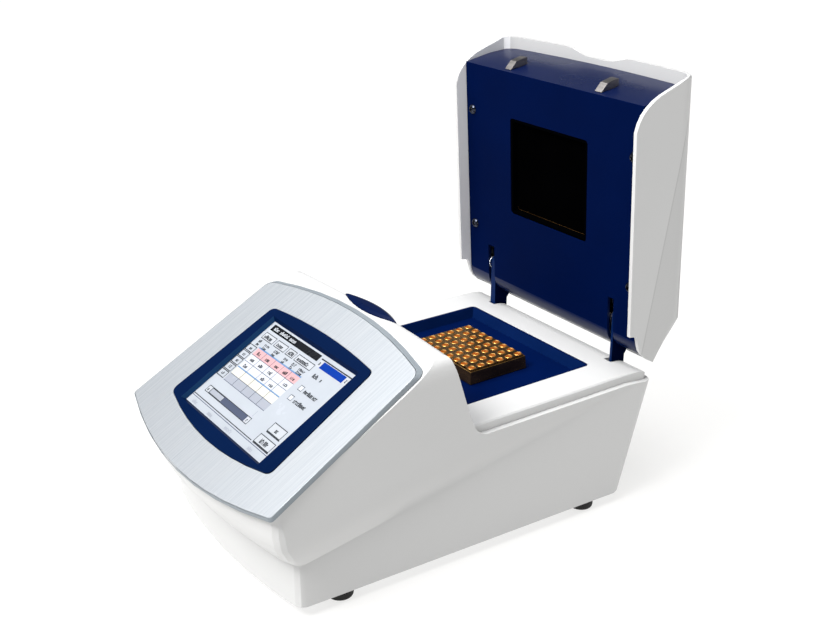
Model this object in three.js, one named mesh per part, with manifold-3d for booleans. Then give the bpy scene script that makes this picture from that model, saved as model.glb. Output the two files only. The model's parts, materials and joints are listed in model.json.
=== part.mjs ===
// Bench-top thermal cycler with a hinged heated lid and a tilted touch panel.
// Millimetres, +Z up. X is across, -Y is the touch panel's side, +Y is the hinge side.
// The sample block's top centre is the drawing origin; the finished group stands on z = 0.
import * as THREE from 'three';
import { mergeVertices } from 'three/addons/utils/BufferGeometryUtils.js';
import Module from 'manifold-3d';

const wasm = await Module();
wasm.setup();

// ---------------------------------------------------------------- driving dimensions
const GAP = 0.3;                 // clearance between neighbouring pieces
const WALL = 3;                  // moulded wall thickness
const BODY_HALF = 105;           // half-width of the housing at its widest
const BASE_HALF_FRONT = 95;      // half-width of the lower side facet at the front corner
const BASE_Z = -102;             // underside of the housing
const FOOT_HEIGHT = 9;
const FRONT_CORNER_Y = -210;     // front vertical corner at the base
const FRONT_BOW = 9.5;           // the front face bows forward by this much at the base
const REAR_BASE_Y = 69.5;
const REAR_TOP_Y = 96;
const LEDGE_Z = -11;             // ledge outside the raised deck, where the lid's wings land
const DECK_Z = -4;
const DECK_HALF = 101;
const REAR_EDGE_DROP = 2;        // the ledge falls by this much toward the back edge
const CREST_Z = 54;              // top of the bulkhead that carries the touch panel
const CREST_BOW = 4.5;           // the crest's rear edge bows back by this much at the centre
const PANEL_TILT = THREE.MathUtils.degToRad(29.7);
const PANEL_Y = -100;
const PANEL_Z = 60;
const PANEL_THICK = 3;
const FACE_LEAN = 0.319;         // backward lean of the bulkhead's rear face, y per z

// Touch panel pieces: outlines with bowed top and bottom edges, in (x, v) up the slope.
const FASCIA = {
  topX: 101.6, bottomX: 106.3, topV: -9.2, topSideV: -22.6, bottomV: -172.8, bottomSideV: -155.4,
  topR: 8, bottomR: 3,
};
const BEZEL = {
  topX: 69.3, bottomX: 74.4, topV: -34.9, topSideV: -39.8, bottomV: -145.4, bottomSideV: -135.4,
  topR: 5, bottomR: 5,
};
const SCREEN = { x: 57.6, v: [-133.2, -46.8], h: -2.5 };
const TRIM = {
  ...FASCIA, topX: 102.9, bottomX: 107.4, topV: -5.2, topSideV: -19, bottomV: -173.8, bottomSideV: -156.4,
};
const SCREEN_OPENING = { x: 75, v: [-147, -34] };

const LENS = { length: 34, width: 6.6, y: -91.7, dome: 2 };   // release button
const LATCH = { barY: [-112, -106], z: [20.3, 25] };

// Rear panel: an opening in the wall, then each part's middle and half-sizes, in (x, y) up the slant.
const REAR_OPENING = { half: 76, tall: 31 };
const INLET = { x: 48, y: -6, w: 13.5, h: 10 };
const SWITCH = { x: 22, y: -6, w: 6.6, h: 11 };
const FUSE = { x: 48, y: 14, w: 11, h: 5 };
const PORT = { x: 0, y: -6, w: 6.2, h: 5.8 };
const SWITCH_TILT = 0.16;         // the rocker rests this far over, in radians

const FAN = { radius: 37, frame: 41, z: [-93, -73] };
const FEET = [[-84, -173], [84, -173], [-92, 40], [92, 40]];

const WELL_PITCH = 9;
const WELLS_X = 8;
const WELLS_Y = 6;
const WELL_TOP_RADIUS = 3;
const WELL_TIP_RADIUS = 1.3;
const WELL_DEPTH = 14;
const BLOCK_HALF = [34.9, 25.4];
const BLOCK_DEPTH = 17;
const TRAY_HALF_X = 72.5;
const TRAY_Y = [-60, 59.5];
const TRAY_FLOOR_Z = -12;

const LID_LEAN = THREE.MathUtils.degToRad(3.06);   // the open lid leans forward
const LID_ORIGIN_Y = 69.3;                         // front edge of the lid's wings at block height
const WING_OUTER = 104.6;
const WING_INNER = 101.6;
const LID_END_S = 213;                             // free end of the lid's cover
const REAR_CORNER_S = 24.5;                        // lower back corner of the lid
const REAR_LEAN = 1.5;                             // the back leans out by this much at the free end
const TIP = [25.5, -0.5];                          // lowest point of the lid's sides, in (d, s)
const LID_CREST_D = 64;                            // depth of the lid's crown on the centre line
const PIVOT_D = 34.4;
const PIVOT_S = 22.2;
const LINER_D = 9.7;                               // face of the liner behind the wings' edge
const LINER_THICK = 2.5;
const PLATE_HALF = 45;
const PLATE_S = [83.4, 162.8];
const PLATE_D = [14.2, 20.2];
const SCOOP = 5;                 // the free end dips by this much at its middle, for the finger
const ARM_FRONT_Y = 79.2;
const ARM_REAR_Y = 92.6;
const ARM_SLOT_Y = [77.8, 94];
const STOP_PIN = { y: 83.4, z: 31, radius: 3.2, headRadius: 5.7, head: [-75.7, -74.8] };
// Hinge arms across the body: the plate, its stop pin, the deck slot and the lid's slot around it.
const ARMS = {
  left: { plate: [-74.5, -68.4], pin: [-75.7, -68.3], deckSlot: [-75.2, -67.7], room: [-76, -68] },
  right: { plate: [73.3, 75.9], pin: [70.5, 76.1], deckSlot: [68.7, 76.6], room: [70.2, 76.4] },
};
const HOOK_X = 51.2;
const SCREW_X = 93;
const SCREW_S = [62, 161];

// ---------------------------------------------------------------- materials
const paint = (color, roughness, metalness = 0) =>
  new THREE.MeshStandardMaterial({ color, roughness, metalness });
const WHITE = paint(0xe9eaee, 0.35);
const NAVY = paint(0x06164d, 0.4);
const TRAY_BLUE = paint(0x0b2468, 0.4);
const BRUSHED = paint(0xc6ccd4, 0.35, 0.9);
const GREY = paint(0x8d9298, 0.4, 0.5);
const STEEL = paint(0xb9bcc0, 0.3, 0.9);
const DARK_STEEL = paint(0x2b2f3a, 0.3, 0.9);
const ALUMINIUM = paint(0xa9adb2, 0.45, 0.9);
const BRONZE = paint(0x8a5a1c, 0.35, 0.8);
const BLACK = paint(0x0b0b0c, 0.25);
const BLACK_PLASTIC = paint(0x151516, 0.55);
const RUBBER = paint(0x111112, 0.85);
const CERAMIC = paint(0xe6e3da, 0.7);
const GLASS = paint(0x9fb3bf, 0.1);
const BOARD = paint(0x1d5a34, 0.55);
const SHEET_STEEL = paint(0x9a9ea2, 0.4, 0.8);

// ---------------------------------------------------------------- solids
function solid(geometry) {
  const bare = geometry.clone();
  bare.deleteAttribute('normal');
  bare.deleteAttribute('uv');
  const merged = mergeVertices(bare, 1e-4);
  const index = merged.index.array;
  const faces = [];
  for (let i = 0; i < index.length; i += 3) {
    const [a, b, c] = [index[i], index[i + 1], index[i + 2]];
    if (a !== b && b !== c && c !== a) faces.push(a, b, c);
  }
  return new wasm.Manifold(new wasm.Mesh({
    numProp: 3,
    vertProperties: new Float32Array(merged.attributes.position.array),
    triVerts: new Uint32Array(faces),
  }));
}

function geometryOf(manifold) {
  const mesh = manifold.getMesh();
  const geometry = new THREE.BufferGeometry();
  geometry.setAttribute('position', new THREE.BufferAttribute(new Float32Array(mesh.vertProperties), 3));
  geometry.setIndex(new THREE.BufferAttribute(new Uint32Array(mesh.triVerts), 1));
  geometry.computeVertexNormals();
  return geometry;
}

const joined = (first, ...rest) => rest.reduce((all, next) => all.add(next), first);
const cut = (body, ...tools) => tools.reduce((left, tool) => left.subtract(tool), body);

function box([x0, x1], [y0, y1], [z0, z1]) {
  const geometry = new THREE.BoxGeometry(x1 - x0, y1 - y0, z1 - z0);
  geometry.translate((x0 + x1) / 2, (y0 + y1) / 2, (z0 + z1) / 2);
  return solid(geometry);
}

// Axis frames for prisms: the outline's two axes, then the direction of the extrusion.
const FRAMES = {
  x: [[0, 1, 0], [0, 0, 1], [1, 0, 0]],
  y: [[1, 0, 0], [0, 0, 1], [0, -1, 0]],
  z: [[1, 0, 0], [0, 1, 0], [0, 0, 1]],
};

function outlineOf(points) {
  return points instanceof THREE.Shape ? points : new THREE.Shape(points.map((p) => new THREE.Vector2(...p)));
}

// A prism along one axis between two places. The outline is in the other two axes, in order.
function prism(axis, outline, [from, to], curveSegments = 8) {
  const geometry = new THREE.ExtrudeGeometry(outlineOf(outline), {
    depth: to - from, bevelEnabled: false, curveSegments,
  });
  const frame = new THREE.Matrix4().makeBasis(...FRAMES[axis].map((v) => new THREE.Vector3(...v)));
  geometry.translate(0, 0, axis === 'y' ? -to : from);
  return solid(geometry.applyMatrix4(frame));
}

function cylinder(axis, [x, y, z], radius, length, segments = 24, tip = radius) {
  const geometry = new THREE.CylinderGeometry(tip, radius, length, segments);
  if (axis === 'x') geometry.rotateZ(-Math.PI / 2);
  if (axis === 'z') geometry.rotateX(Math.PI / 2);
  return solid(geometry.translate(x, y, z));
}

function roundedOutline([x0, x1], [y0, y1], r) {
  const shape = new THREE.Shape();
  shape.moveTo(x0 + r, y0);
  shape.lineTo(x1 - r, y0);
  shape.absarc(x1 - r, y0 + r, r, -Math.PI / 2, 0);
  shape.lineTo(x1, y1 - r);
  shape.absarc(x1 - r, y1 - r, r, 0, Math.PI / 2);
  shape.lineTo(x0 + r, y1);
  shape.absarc(x0 + r, y1 - r, r, Math.PI / 2, Math.PI);
  shape.lineTo(x0, y0 + r);
  shape.absarc(x0 + r, y0 + r, r, Math.PI, 1.5 * Math.PI);
  return shape;
}

// A closed skin through rings with equal point counts; the first and last rings are capped.
function loft(rings) {
  const count = rings[0].length;
  const positions = rings.flat(2);
  const index = [];
  for (let r = 0; r + 1 < rings.length; r += 1) {
    for (let i = 0; i < count; i += 1) {
      const a = r * count + i;
      const b = r * count + ((i + 1) % count);
      index.push(a, b, b + count, a, b + count, a + count);
    }
  }
  const flat = (ring) => {
    const spread = (k) => Math.max(...ring.map((p) => p[k])) - Math.min(...ring.map((p) => p[k]));
    const [u, v] = [0, 1, 2].filter((k) => spread(k) > 1e-6);
    return ring.map((p) => new THREE.Vector2(p[u], p[v]));
  };
  const turn = THREE.ShapeUtils.area(flat(rings[0])) > 0;
  const cap = (ring, start, forward) => {
    for (const [a, b, c] of THREE.ShapeUtils.triangulateShape(flat(ring), [])) {
      index.push(start + a, start + (forward ? b : c), start + (forward ? c : b));
    }
  };
  cap(rings[0], 0, !turn);
  cap(rings[rings.length - 1], (rings.length - 1) * count, turn);
  if (signedVolume(positions, index) < 0) index.reverse();
  const geometry = new THREE.BufferGeometry();
  geometry.setAttribute('position', new THREE.BufferAttribute(new Float32Array(positions), 3));
  geometry.setIndex(index);
  return solid(geometry);
}

function signedVolume(positions, index) {
  const point = (i) => new THREE.Vector3().fromArray(positions, 3 * index[i]);
  let sum = 0;
  for (let i = 0; i < index.length; i += 3) sum += point(i).dot(point(i + 1).cross(point(i + 2)));
  return sum;
}

// A coil spring along +Z from its origin, one closed wire with flat ends.
function coil(radius, height, turns, wire) {
  class Helix extends THREE.Curve {
    getPoint(t) {
      const turn = t * turns * 2 * Math.PI;
      const z = wire + t * (height - 2 * wire);
      return new THREE.Vector3(radius * Math.cos(turn), radius * Math.sin(turn), z);
    }
  }
  const section = new THREE.Shape().absarc(0, 0, wire, 0, 2 * Math.PI);
  return solid(new THREE.ExtrudeGeometry(section, {
    steps: Math.round(turns * 10), curveSegments: 3, extrudePath: new Helix(),
  }));
}

// ---------------------------------------------------------------- scene graph
const cycler = new THREE.Group();

function place(name, manifold, material, parent = cycler) {
  const mesh = new THREE.Mesh(geometryOf(manifold), material);
  mesh.name = name;
  parent.add(mesh);
}

// Touch panel frame: X across, Y up the slope (v), Z out of the panel (h).
const panelMatrix = new THREE.Matrix4().makeRotationX(PANEL_TILT).setPosition(0, PANEL_Y, PANEL_Z);
const panelGroup = new THREE.Group();
panelGroup.applyMatrix4(panelMatrix);
cycler.add(panelGroup);
const onPanel = (manifold) => manifold.transform(panelMatrix.toArray());

// Rear wall frame: X to the right as seen from behind, Y up the slope, Z outward.
const REAR_SLANT = Math.atan2(REAR_TOP_Y - REAR_BASE_Y, LEDGE_Z - REAR_EDGE_DROP - BASE_Z);
const REAR_MID_Z = -58;
const rearMatrix = new THREE.Matrix4()
  .makeBasis(
    new THREE.Vector3(-1, 0, 0),
    new THREE.Vector3(0, Math.sin(REAR_SLANT), Math.cos(REAR_SLANT)),
    new THREE.Vector3(0, Math.cos(REAR_SLANT), -Math.sin(REAR_SLANT)),
  )
  .setPosition(0, REAR_BASE_Y + (REAR_MID_Z - BASE_Z) * Math.tan(REAR_SLANT), REAR_MID_Z);
const rearGroup = new THREE.Group();
rearGroup.applyMatrix4(rearMatrix);
cycler.add(rearGroup);
const onRear = (manifold) => manifold.transform(rearMatrix.toArray());

// Open lid frame: X across, Y is depth d behind the wings' front edge, Z is s toward the free end.
const lidGroup = new THREE.Group();
lidGroup.rotation.x = LID_LEAN;
lidGroup.position.y = LID_ORIGIN_Y;
cycler.add(lidGroup);

// ---------------------------------------------------------------- housing
const lerp = THREE.MathUtils.lerp;
const ramp = (value, from, to) => THREE.MathUtils.clamp((value - from) / (to - from), 0, 1);

const facetHalf = (y) => lerp(BASE_HALF_FRONT, BODY_HALF, ramp(y, FRONT_CORNER_Y, REAR_BASE_Y));
const creaseZ = (y) => lerp(-70, -13, ramp(y, -213, 80));
const flareTopZ = (y) => (y > -66 ? LEDGE_Z : lerp(-36, LEDGE_Z, ramp(y, -213, -66)));
const FLARE_STEPS = [0.34, 0.67, 1];
const easeOut = (t) => 1 - (1 - t) ** 2;

// One ring of the side walls. flare 0 is the flat lower facet, 1 is the widest line above it.
// pull narrows the ring toward the crest; zOf gives each point's height.
function wallRing(zOf, flare, pull, inset) {
  const half = (y) => lerp(facetHalf(y), BODY_HALF, easeOut(flare)) - pull - inset;
  const frontCorner = FRONT_CORNER_Y - 19 * easeOut(flare) + inset;
  const bow = FRONT_BOW + 6 * flare;
  const rearAt = (z) => REAR_BASE_Y + (z - BASE_Z) * Math.tan(REAR_SLANT) - inset / Math.cos(REAR_SLANT);
  const corner = 5;
  const stations = [-190, -160, -130, -100, -66, -30, 5, 40];
  const side = [];
  side.push([half(frontCorner) - corner, frontCorner - bow * 0.1]);
  side.push([half(frontCorner) - corner * 0.28, frontCorner + corner * 0.28]);
  side.push([half(frontCorner), frontCorner + corner]);
  for (const y of stations) side.push([half(y), y]);
  const rear = rearAt(zOf(REAR_BASE_Y));
  side.push([half(rear), rear - 7]);
  side.push([half(rear) - 2, rear - 2]);
  side.push([half(rear) - 7, rear]);
  const front = [];
  const span = side[0][0];
  for (let i = 1; i < 10; i += 1) {
    const x = lerp(-span, span, i / 10);
    front.push([x, frontCorner - bow * 0.1 - bow * 0.9 * (1 - (x / span) ** 2)]);
  }
  const mirrored = side.map(([x, y]) => [-x, y]).reverse();
  return [...side, ...mirrored, ...front].map(([x, y]) => [x, y, zOf(y)]);
}

// The closed volume inside the side, front and rear walls, cut off flat above and below.
function wallVolume(inset, bottom) {
  const rings = [wallRing(() => bottom, 0, 0, inset), wallRing(creaseZ, 0, 0, inset)];
  for (const t of FLARE_STEPS) {
    rings.push(wallRing((y) => lerp(creaseZ(y), flareTopZ(y), t), t, 0, inset));
  }
  const crown = [
    [38, 0], [42, 0.25], [45, 0.8], [48, 1.9], [50, 3], [51.7, 4.7], [53, 6.8], [54, 8.9], [CREST_Z + 2, 13.4],
  ];
  for (const [z, pull] of crown) rings.push(wallRing(() => z, 1, pull, inset));
  return loft(rings);
}

// Height profile of the housing (y, z), with the bulkhead's rear face bowed back by `bow`.
const faceY = (z) => -73.5 - FACE_LEAN * (z - LEDGE_Z);
const bowAt = (x) => CREST_BOW * (1 - (x / BODY_HALF) ** 2);
const bowHere = (x, z) => bowAt(x) * ramp(z, LEDGE_Z, CREST_Z);

function onSlope(v, h) {
  const along = [Math.cos(PANEL_TILT), Math.sin(PANEL_TILT)];
  return [PANEL_Y + v * along[0] - h * along[1], PANEL_Z + v * along[1] + h * along[0]];
}

function heightProfile(x, inset) {
  const bottom = BASE_Z - 30;
  const rearLedge = LEDGE_Z - REAR_EDGE_DROP - inset;
  const foot = new THREE.QuadraticBezierCurve(
    new THREE.Vector2(-63, LEDGE_Z), new THREE.Vector2(faceY(LEDGE_Z), LEDGE_Z),
    new THREE.Vector2(faceY(5.5), 5.5),
  ).getPoints(6);
  const crest = new THREE.QuadraticBezierCurve(
    new THREE.Vector2(faceY(50.5), 50.5), new THREE.Vector2(faceY(CREST_Z), CREST_Z),
    new THREE.Vector2(-99.5, CREST_Z),
  ).getPoints(5);
  const face = [...foot, ...crest].map((p) => [p.x + bowHere(x, p.y) - inset, p.y - inset]);
  const slope = [-7.5, -9, -230].map((v) => onSlope(v, -PANEL_THICK - GAP));
  const slopeInset = slope.map(([y, z]) => [y + inset * 0.2, z - inset * 1.15]);
  return [
    [150, bottom], [150, rearLedge], [88, rearLedge], [70, LEDGE_Z - inset], ...face, ...slopeInset,
    [slopeInset[2][0], bottom],
  ];
}

function heightVolume(inset) {
  const stations = [-120, -105, -96, -84, -70, -52, -35, -18, 0, 18, 35, 52, 70, 84, 96, 105, 120];
  const sectionAt = (x) => heightProfile(Math.min(Math.abs(x), BODY_HALF), inset);
  return loft(stations.map((x) => sectionAt(x).map(([y, z]) => [x, y, z])));
}

// The raised deck between the lid's wings, falling in a curve to the back edge.
function deckBlock(half, drop, rearInset) {
  const front = -84;
  const back = REAR_TOP_Y - 2 - rearInset;
  const profile = new THREE.Shape();
  profile.moveTo(front, -30);
  profile.lineTo(back, -30);
  profile.lineTo(back, LEDGE_Z - 2.5 - drop);
  profile.quadraticCurveTo(back, DECK_Z - 2.6 - drop, back - 10, DECK_Z - 1.6 - drop);
  profile.quadraticCurveTo(70, DECK_Z - drop, 60, DECK_Z - drop);
  profile.lineTo(front, DECK_Z - drop);
  const plan = roundedOutline([-half, half], [front - 30, back], 6);
  const slab = prism('x', profile, [-half, half], 5).intersect(prism('z', plan, [-40, 0], 5));
  if (drop > 0) return slab;
  const rim = 1;
  const chamfer = prism('y', [
    [-half - 1, -30], [half + 1, -30], [half + 1, DECK_Z - rim], [half, DECK_Z - rim], [half - rim, DECK_Z],
    [-half + rim, DECK_Z], [-half, DECK_Z - rim], [-half - 1, DECK_Z - rim],
  ], [front - 40, back + 5]);
  return slab.intersect(chamfer);
}

function lensOutline(halfLength, halfWidth, centreY) {
  const shape = new THREE.Shape();
  shape.moveTo(-halfLength, centreY);
  shape.quadraticCurveTo(0, centreY - 2 * halfWidth, halfLength, centreY);
  shape.quadraticCurveTo(0, centreY + 2 * halfWidth, -halfLength, centreY);
  return shape;
}

function housing() {
  const outer = wallVolume(0, BASE_Z).intersect(heightVolume(0));
  const inner = wallVolume(WALL, BASE_Z - 5).intersect(heightVolume(WALL));
  const shell = cut(joined(outer, deckBlock(DECK_HALF, 0, 0).intersect(wallVolume(0, BASE_Z))), inner,
    deckBlock(DECK_HALF - WALL, WALL, 4));
  const trayHole = prism('z', roundedOutline([-TRAY_HALF_X - GAP, TRAY_HALF_X + GAP],
    [TRAY_Y[0] - GAP, TRAY_Y[1] + GAP], 4.3), [-40, 5], 4);
  const button = prism('z', lensOutline(LENS.length + 0.8, LENS.width + 0.5, LENS.y), [40, 60], 10);
  const screen = onPanel(box([-SCREEN_OPENING.x, SCREEN_OPENING.x], SCREEN_OPENING.v, [-9, 5]));
  const rear = onRear(prism('z', roundedOutline([-REAR_OPENING.half, REAR_OPENING.half],
    [-REAR_OPENING.tall, REAR_OPENING.tall], 4), [-12, 6], 3));
  const springShelf = box([-10, 10], [-104, -79], [6, 9]);
  const springRib = box([-10, 10], [-124.4, -121.9], [17, 42]);
  let body = cut(joined(shell, springShelf, springRib), trayHole, button, screen, rear);
  for (const arm of Object.values(ARMS)) body = cut(body, box(arm.deckSlot, ARM_SLOT_Y, [-40, 0]));
  for (const side of [-1, 1]) {
    body = cut(body, box([side * HOOK_X - 5, side * HOOK_X + 5], [-92, -70], [-2, 31]));
  }
  return body;
}

place('main_housing', housing(), WHITE);

// ---------------------------------------------------------------- base plate, feet and cooling

function basePlate() {
  const slab = wallVolume(WALL + GAP, BASE_Z)
    .intersect(box([-120, 120], [-260, 120], [BASE_Z + 0.3, BASE_Z + 2.7]));
  const round = cylinder('z', [0, 0, BASE_Z], FAN.radius, 20, 32);
  let slots = box([-FAN.radius, FAN.radius], [-2.5, 2.5], [BASE_Z - 5, BASE_Z + 5]);
  for (let i = 1; i <= 3; i += 1) {
    for (const side of [-1, 1]) {
      const y = side * i * 10;
      slots = slots.add(box([-FAN.radius, FAN.radius], [y - 2.5, y + 2.5], [BASE_Z - 5, BASE_Z + 5]));
    }
  }
  return slab.subtract(round.intersect(slots));
}
place('base_plate', basePlate(), SHEET_STEEL);

const FOOT_NAMES = ['foot_front_left', 'foot_front_right', 'foot_rear_left', 'foot_rear_right'];
function foot([x, y]) {
  const r = 9.5;
  const floor = BASE_Z - FOOT_HEIGHT;
  const profile = [[0, floor], [r - 2, floor], [r - 0.6, floor + 0.6], [r, floor + 2], [r, BASE_Z - 0.3],
    [0, BASE_Z - 0.3]];
  const geometry = new THREE.LatheGeometry(profile.map((p) => new THREE.Vector2(...p)), 24);
  return solid(geometry.rotateX(Math.PI / 2).translate(x, y, 0));
}
FEET.forEach((spot, i) => place(FOOT_NAMES[i], foot(spot), RUBBER));

function heatSink() {
  const [top, base, tips] = [-21.1, -27, -66];
  const half = 50;
  const fins = 13;
  const pitch = (2 * half - 2) / (fins - 1);
  const outline = [[half, top], [-half, top]];
  for (let i = 0; i < fins; i += 1) {
    const x = -half + i * pitch;
    if (i > 0) outline.push([x, base]);
    outline.push([x, tips], [x + 2, tips]);
    if (i < fins - 1) outline.push([x + 2, base]);
  }
  return prism('y', outline.reverse(), [-45, 45]);
}
place('heat_sink', heatSink(), ALUMINIUM);

for (const side of [-1, 1]) {
  const xs = [side * 0.5, side * 34.5].sort((a, b) => a - b);
  place(side < 0 ? 'thermal_module_left' : 'thermal_module_right', box(xs, [-25, 25], [-20.8, -17.3]), CERAMIC);
}

function fanFrame() {
  const [low, high] = FAN.z;
  const ring = cut(prism('z', roundedOutline([-FAN.frame, FAN.frame], [-FAN.frame, FAN.frame], 4), FAN.z, 3),
    cylinder('z', [0, 0, (low + high) / 2], FAN.radius + 1, 40, 44));
  const reach = FAN.radius + 2.3;
  const strutA = box([-reach, reach], [-2, 2], [low + 0.4, low + 2.2]);
  const strutB = box([-2.2, 2.2], [-reach, reach], [low + 0.4, low + 2.2]);
  const hubPlate = cylinder('z', [0, 0, low + 1.3], 14, 2.6, 24);
  return joined(ring, strutA, strutB, hubPlate);
}
place('fan_frame', fanFrame(), BLACK_PLASTIC);

function fanRotor() {
  const low = FAN.z[0] + 3;
  const high = FAN.z[1] - 1;
  let rotor = cylinder('z', [0, 0, (low + high) / 2], 15, high - low, 28);
  const blades = 7;
  for (let i = 0; i < blades; i += 1) {
    const blade = new THREE.BoxGeometry(22.5, 1.6, 14);
    blade.rotateX(0.7).translate(24.6, 0, (low + high) / 2).rotateZ((i / blades) * 2 * Math.PI);
    rotor = rotor.add(solid(blade));
  }
  return rotor;
}
place('fan_rotor', fanRotor(), BLACK_PLASTIC);

// ---------------------------------------------------------------- sample block and tray
function sampleBlock() {
  let body = box([-BLOCK_HALF[0], BLOCK_HALF[0]], [-BLOCK_HALF[1], BLOCK_HALF[1]], [-BLOCK_DEPTH, 0]);
  for (let i = 0; i < WELLS_X; i += 1) {
    for (let j = 0; j < WELLS_Y; j += 1) {
      const x = (i - (WELLS_X - 1) / 2) * WELL_PITCH;
      const y = (j - (WELLS_Y - 1) / 2) * WELL_PITCH;
      const slope = (WELL_TOP_RADIUS - WELL_TIP_RADIUS) / WELL_DEPTH;
      const mouth = WELL_TOP_RADIUS + slope;
      body = cut(body, cylinder('z', [x, y, (1 - WELL_DEPTH) / 2], WELL_TIP_RADIUS, WELL_DEPTH + 1, 12, mouth));
    }
  }
  return body;
}
place('sample_block', sampleBlock(), BRONZE);

function taperedBox(low, high, [z0, z1]) {
  const ring = ([x, y0, y1], z) => [[-x, y0, z], [x, y0, z], [x, y1, z], [-x, y1, z]];
  return loft([ring(low, z0), ring(high, z1)]);
}

function blockFrame() {
  const [x, y] = BLOCK_HALF;
  const outer = taperedBox([x + 1.8, -y - 1.8, y + 1.8], [x + 1.2, -y - 1.2, y + 1.2],
    [TRAY_FLOOR_Z + GAP, -1.5]);
  return outer.subtract(box([-x - GAP, x + GAP], [-y - GAP, y + GAP], [-20, 5]));
}
place('block_frame', blockFrame(), BLACK_PLASTIC);

function recessTray() {
  const rim = 2;
  const plan = roundedOutline([-TRAY_HALF_X, TRAY_HALF_X], TRAY_Y, 4);
  const body = prism('z', plan, [TRAY_FLOOR_Z - 2, DECK_Z], 4);
  const top = [TRAY_HALF_X - rim, TRAY_Y[0] + rim, TRAY_Y[1] - rim];
  const low = [TRAY_HALF_X - rim - 3, TRAY_Y[0] + rim + 3, TRAY_Y[1] - rim - 3];
  const hollow = joined(taperedBox(low, top, [TRAY_FLOOR_Z, DECK_Z]),
    box([-top[0], top[0]], [top[1], top[2]], [DECK_Z - 0.01, DECK_Z + 3]));
  const [x, y] = BLOCK_HALF;
  return cut(body, hollow, box([-x - GAP, x + GAP], [-y - GAP, y + GAP], [-20, 0]));
}
place('recess_tray', recessTray(), TRAY_BLUE);

// ---------------------------------------------------------------- touch panel
// Outline with bowed top and bottom edges and straight, slightly spread sides, in (x, v).
function bowedOutline({ topX, bottomX, topV, topSideV, bottomV, bottomSideV, topR, bottomR }, grow = 0) {
  const shape = new THREE.Shape();
  const [tx, bx] = [topX + grow, bottomX + grow];
  const [tv, tsv, bv, bsv] = [topV + grow, topSideV + grow, bottomV - grow, bottomSideV - grow];
  shape.moveTo(-bx + bottomR, bsv - bottomR * 0.2);
  shape.quadraticCurveTo(0, 2 * bv - bsv + bottomR * 0.2, bx - bottomR, bsv - bottomR * 0.2);
  shape.quadraticCurveTo(bx, bsv, bx, bsv + bottomR);
  shape.lineTo(tx, tsv - topR);
  shape.quadraticCurveTo(tx, tsv, tx - topR, tsv + topR * 0.2);
  shape.quadraticCurveTo(0, 2 * tv - tsv - topR * 0.2, -tx + topR, tsv + topR * 0.2);
  shape.quadraticCurveTo(-tx, tsv, -tx, tsv - topR);
  shape.lineTo(-bx, bsv + bottomR);
  shape.quadraticCurveTo(-bx, bsv, -bx + bottomR, bsv - bottomR * 0.2);
  return shape;
}

function fascia() {
  const sheet = prism('z', bowedOutline(FASCIA), [-PANEL_THICK, 0], 10);
  return sheet.subtract(prism('z', bowedOutline(BEZEL, GAP), [-10, 5], 8));
}
place('fascia_panel', fascia(), BRUSHED, panelGroup);

function panelTrim() {
  const ring = (outline, h) => outline.getPoints(8).slice(1).map((p) => [p.x, p.y, h]);
  const skirt = loft([
    ring(bowedOutline(TRIM), -PANEL_THICK), ring(bowedOutline(TRIM), -PANEL_THICK + 0.8),
    ring(bowedOutline(FASCIA, GAP + 0.25), -0.2),
  ]);
  return skirt.subtract(prism('z', bowedOutline(FASCIA, GAP), [-10, 5], 10));
}
place('panel_trim', panelTrim(), GREY, panelGroup);

function screenBezel() {
  const body = prism('z', bowedOutline(BEZEL), [SCREEN.h, 0.6], 8);
  const ring = (grow, h) => {
    const [x, v0, v1] = [SCREEN.x + grow, SCREEN.v[0] - grow, SCREEN.v[1] + grow];
    return [[-x, v0, h], [x, v0, h], [x, v1, h], [-x, v1, h]];
  };
  return body.subtract(loft([ring(0, SCREEN.h - 1), ring(0, SCREEN.h), ring(2, 0.7)]));
}
place('screen_bezel', screenBezel(), NAVY, panelGroup);

place('touch_glass', box([-60, 60], [-135.6, -44.4], [-3.9, -2.8]), GLASS, panelGroup);
place('lcd_module', box([-62, 62], [-138, -42], [-12, -4.2]), SHEET_STEEL, panelGroup);

function controllerBoard() {
  const board = box([-60, 60], [-138, -46], [-23.6, -22]);
  const chips = [
    [-30, -70, 14, 1.6], [10, -60, 10, 1.4], [32, -100, 16, 3], [-20, -112, 8, 6], [45, -60, 6, 8],
  ];
  return chips.reduce((all, [x, v, half, tall]) => all.add(box([x - half / 1.4, x + half / 1.4],
    [v - half / 1.4, v + half / 1.4], [-22.2, -22 + tall * 0.7])), board);
}
place('controller_board', controllerBoard(), BOARD, panelGroup);

// ---------------------------------------------------------------- power supply and rear panel
function powerSupply() {
  const can = box([-80, -6], [-190, -70], [-98, -62]);
  const terminal = box([-70, -20], [-70.2, -58], [-96, -84]);
  return joined(can, terminal);
}
place('power_supply', powerSupply(), SHEET_STEEL);

function hole({ x, y, w, h }, grow, depth) {
  return box([x - w - grow, x + w + grow], [y - h - grow, y + h + grow], depth);
}

function rearPanel() {
  const plate = prism('z', roundedOutline([-REAR_OPENING.half + GAP, REAR_OPENING.half - GAP],
    [-REAR_OPENING.tall + GAP, REAR_OPENING.tall - GAP], 3.7), [-2.6, -0.6], 3);
  let body = cut(plate, ...[INLET, SWITCH, FUSE, PORT].map((item) => hole(item, GAP, [-5, 2])));
  for (let i = 0; i < 9; i += 1) {
    const x = -68 + i * 6.5;
    body = cut(body, box([x, x + 3], [-22, 22], [-5, 2]));
  }
  return body;
}
place('rear_panel', rearPanel(), BLACK_PLASTIC, rearGroup);

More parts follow.
